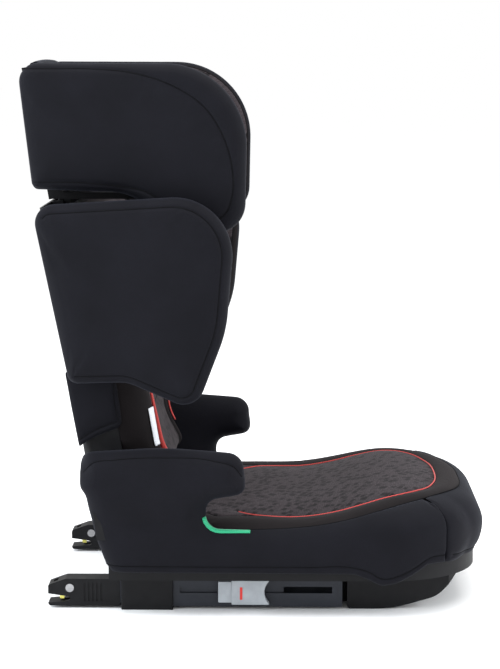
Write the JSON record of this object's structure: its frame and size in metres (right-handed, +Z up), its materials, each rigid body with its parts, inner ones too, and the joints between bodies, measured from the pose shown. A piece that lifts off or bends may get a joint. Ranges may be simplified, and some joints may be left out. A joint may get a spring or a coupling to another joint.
{
  "type": "booster seat",
  "caption": "High-back booster seat with padded wings, armrests, sliding ISOFIX arms with latches, a reclining backrest and a height-adjustable headrest.",
  "frame": {"origin": "on the floor, under the middle of the seat's bounding box", "axes": "+Z up, -Y the way the child faces, +X the child's left"},
  "size_m": [0.432, 0.5609, 0.6479],
  "materials": {
    "cover_fabric": "dark navy scuba knit over foam, soft sheen",
    "insert_fabric": "melange knit with a dark broken dash pattern, dark borders",
    "foam": "expanded foam block, cut",
    "black_plastic": "moulded, fine texture",
    "grey_plastic": "moulded, satin",
    "red_plastic": "moulded, satin",
    "green_trim": "woven binding",
    "red_piping": "woven binding",
    "white_label": "blank satin label",
    "painted_steel": "powder coated",
    "bright_steel": "zinc plated",
    "yellow_zinc": "yellow passivated steel"
  },
  "bodies": {
    "base": {"base_shell": "black_plastic", "base_underbody": "black_plastic", "base_foam": "foam", "seat_cushion": "insert_fabric", "front_panel": "cover_fabric", "rail_screws": "bright_steel", "backrest_hinge_bar": "bright_steel", "side_cover_left": "cover_fabric", "side_cover_right": "cover_fabric", "armrest_core_left": "black_plastic", "armrest_core_right": "black_plastic", "lap_belt_marker_left": "green_trim", "lap_belt_marker_right": "green_trim", "isofix_rail_left": "painted_steel", "isofix_rail_right": "painted_steel", "rail_bracket_left": "black_plastic", "rail_bracket_right": "black_plastic"},
    "backrest": {"backrest_shell": "black_plastic", "backrest_inner_panel": "black_plastic", "backrest_screws": "bright_steel", "height_rack": "black_plastic", "backrest_pad": "insert_fabric", "backrest_trim": "red_piping", "care_label": "white_label", "lower_back_cover_left": "cover_fabric", "lower_back_cover_right": "cover_fabric", "torso_wing_core_left": "black_plastic", "torso_wing_core_right": "black_plastic", "torso_wing_left": "cover_fabric", "torso_wing_right": "cover_fabric"},
    "headrest": {"headrest_shell": "black_plastic", "headrest_slider": "black_plastic", "headrest_pad": "insert_fabric", "handle_springs": "bright_steel", "headrest_wing_core_left": "black_plastic", "headrest_wing_core_right": "black_plastic", "headrest_wing_left": "cover_fabric", "headrest_wing_right": "cover_fabric", "belt_guide_left": "black_plastic", "belt_guide_right": "black_plastic"},
    "height_handle": {"height_handle": "black_plastic"},
    "lock_bar": {"headrest_lock_bar": "bright_steel"},
    "isofix_left": {"isofix_arm_left": "painted_steel", "isofix_connector_left": "black_plastic", "hook_rivet_left": "bright_steel", "adjuster_body_left": "grey_plastic", "lock_indicator_left": "red_plastic", "release_spring_left": "bright_steel"},
    "latch_left": {"isofix_latch_hook_left": "yellow_zinc"},
    "button_left": {"isofix_release_button_left": "grey_plastic"},
    "gate_left": {"belt_gate_left": "red_plastic"},
    "isofix_right": {"isofix_arm_right": "painted_steel", "isofix_connector_right": "black_plastic", "hook_rivet_right": "bright_steel", "adjuster_body_right": "grey_plastic", "lock_indicator_right": "red_plastic", "release_spring_right": "bright_steel"},
    "latch_right": {"isofix_latch_hook_right": "yellow_zinc"},
    "button_right": {"isofix_release_button_right": "grey_plastic"},
    "gate_right": {"belt_gate_right": "red_plastic"}
  },
  "joints": [
    {"name": "backrest_recline", "type": "hinge", "parent": "base", "child": "backrest", "pos_m": [0, 0.16, 0.112], "axis": [-1, 0, 0], "range_deg": [-9, 16]},
    {"name": "headrest_height", "type": "slide", "parent": "backrest", "child": "headrest", "axis": [0, 0.1668, 0.986], "range_m": [0, 0.17]},
    {"name": "height_release", "type": "slide", "parent": "headrest", "child": "height_handle", "axis": [0, 0.1668, 0.986], "range_m": [0, 0.008], "stiffness_N_per_m": 1500, "springref_m": -0.003, "deforming": ["handle_springs"]},
    {"name": "lock_bar_lift", "type": "slide", "parent": "headrest", "child": "lock_bar", "axis": [0, -0.986, 0.1668], "range_m": [0, 0.006]},
    {"name": "isofix_slide_left", "type": "slide", "parent": "base", "child": "isofix_left", "axis": [0, 1, 0], "range_m": [-0.055, 0.038]},
    {"name": "latch_left_turn", "type": "hinge", "parent": "isofix_left", "child": "latch_left", "pos_m": [0.14, 0.226, 0.025], "axis": [1, 0, 0], "range_deg": [0, 40], "stiffness_Nm_per_rad": 0.05, "springref_deg": -20.05},
    {"name": "button_left_press", "type": "slide", "parent": "isofix_left", "child": "button_left", "axis": [0, -1, 0], "range_m": [0, 0.006], "stiffness_N_per_m": 800, "springref_m": -0.002, "deforming": ["release_spring_left"]},
    {"name": "gate_left_swing", "type": "hinge", "parent": "headrest", "child": "gate_left", "pos_m": [0.1445, 0.134, 0.466], "axis": [0, 1, 0], "range_deg": [0, 35], "stiffness_Nm_per_rad": 0.01, "springref_deg": -20.05},
    {"name": "isofix_slide_right", "type": "slide", "parent": "base", "child": "isofix_right", "axis": [0, 1, 0], "range_m": [-0.055, 0.038]},
    {"name": "latch_right_turn", "type": "hinge", "parent": "isofix_right", "child": "latch_right", "pos_m": [-0.14, 0.226, 0.025], "axis": [1, 0, 0], "range_deg": [0, 40], "stiffness_Nm_per_rad": 0.05, "springref_deg": -20.05},
    {"name": "button_right_press", "type": "slide", "parent": "isofix_right", "child": "button_right", "axis": [0, -1, 0], "range_m": [0, 0.006], "stiffness_N_per_m": 800, "springref_m": -0.002, "deforming": ["release_spring_right"]},
    {"name": "gate_right_swing", "type": "hinge", "parent": "headrest", "child": "gate_right", "pos_m": [-0.1445, 0.134, 0.466], "axis": [0, -1, 0], "range_deg": [0, 35], "stiffness_Nm_per_rad": 0.01, "springref_deg": -20.05}
  ],
  "couplings": [
    {"joint": "lock_bar_lift", "follows": "height_release", "ratio": 0.75}
  ]
}
